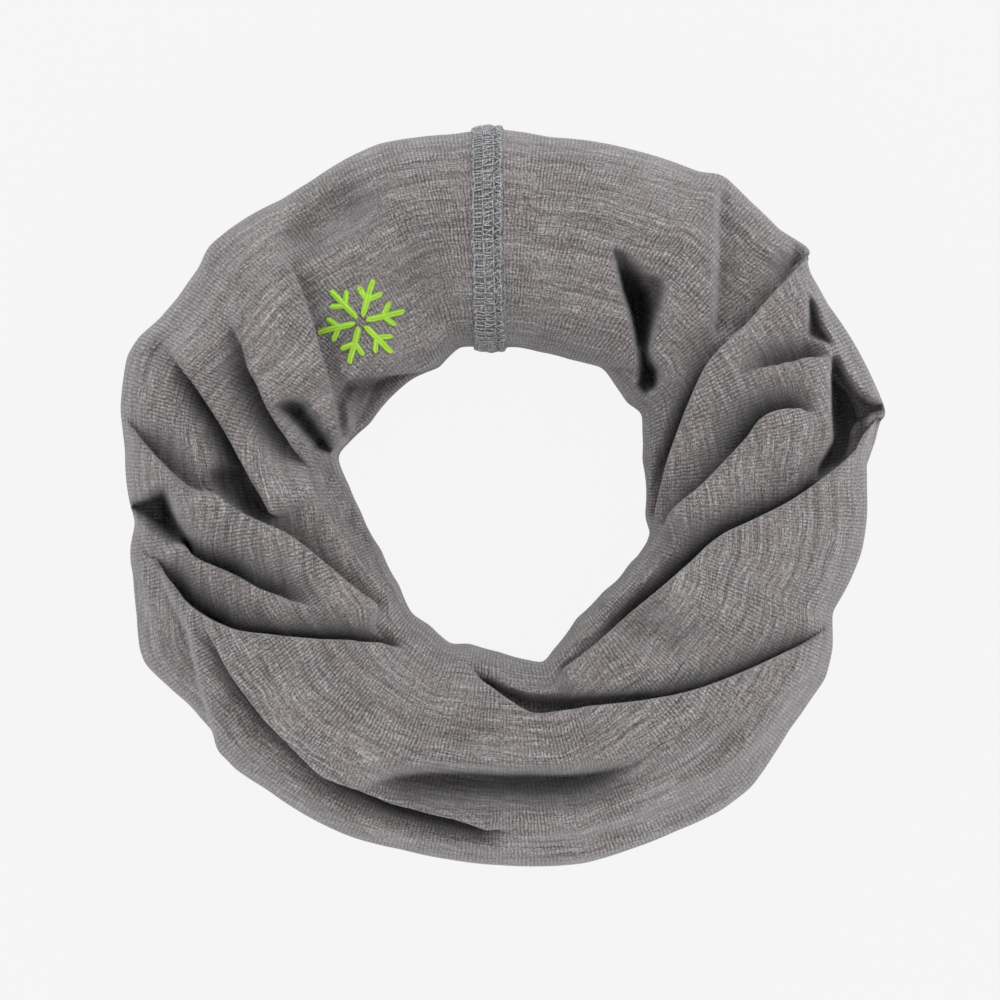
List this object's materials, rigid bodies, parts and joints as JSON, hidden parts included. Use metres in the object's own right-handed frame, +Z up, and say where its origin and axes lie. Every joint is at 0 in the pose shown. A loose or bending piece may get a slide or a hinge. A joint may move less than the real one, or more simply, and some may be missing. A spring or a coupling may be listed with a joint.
{
  "type": "neck gaiter",
  "caption": "Soft tube of fine jersey scrunched into a ring, worn round the neck: sewn back seam, stitched hems and a small embroidered snowflake.",
  "frame": {"origin": "on the floor, under the middle of the ring's outline", "axes": "+Z up along the ring's axis, out of the hole; +Y towards the sewn back seam; +X across, to the wearer's left when the seam is at the back and the tube is worn with this side up"},
  "size_m": [0.1612, 0.1588, 0.064],
  "materials": {
    "jersey": "fine heather-grey single jersey, matt with a faint fuzz",
    "hem_jersey": "the same jersey folded double and sewn down",
    "seam_thread": "cool grey textured polyester sewing thread",
    "neon_thread": "neon green satin-stitch embroidery thread, soft sheen"
  },
  "bodies": {
    "root": {"knit_tube": "jersey", "seam_overlap": "jersey", "inner_hem": "hem_jersey", "outer_hem": "hem_jersey", "inner_hem_stitch_lower": "seam_thread", "inner_hem_stitch_upper": "seam_thread", "outer_hem_stitch_lower": "seam_thread", "outer_hem_stitch_upper": "seam_thread", "seam_cover_thread": "seam_thread", "seam_needle_thread_left": "seam_thread", "seam_needle_thread_centre": "seam_thread", "seam_needle_thread_right": "seam_thread", "snowflake_arm_1": "neon_thread", "snowflake_arm_2": "neon_thread", "snowflake_arm_3": "neon_thread", "snowflake_arm_4": "neon_thread", "snowflake_arm_5": "neon_thread", "snowflake_arm_6": "neon_thread"}
  },
  "joints": []
}
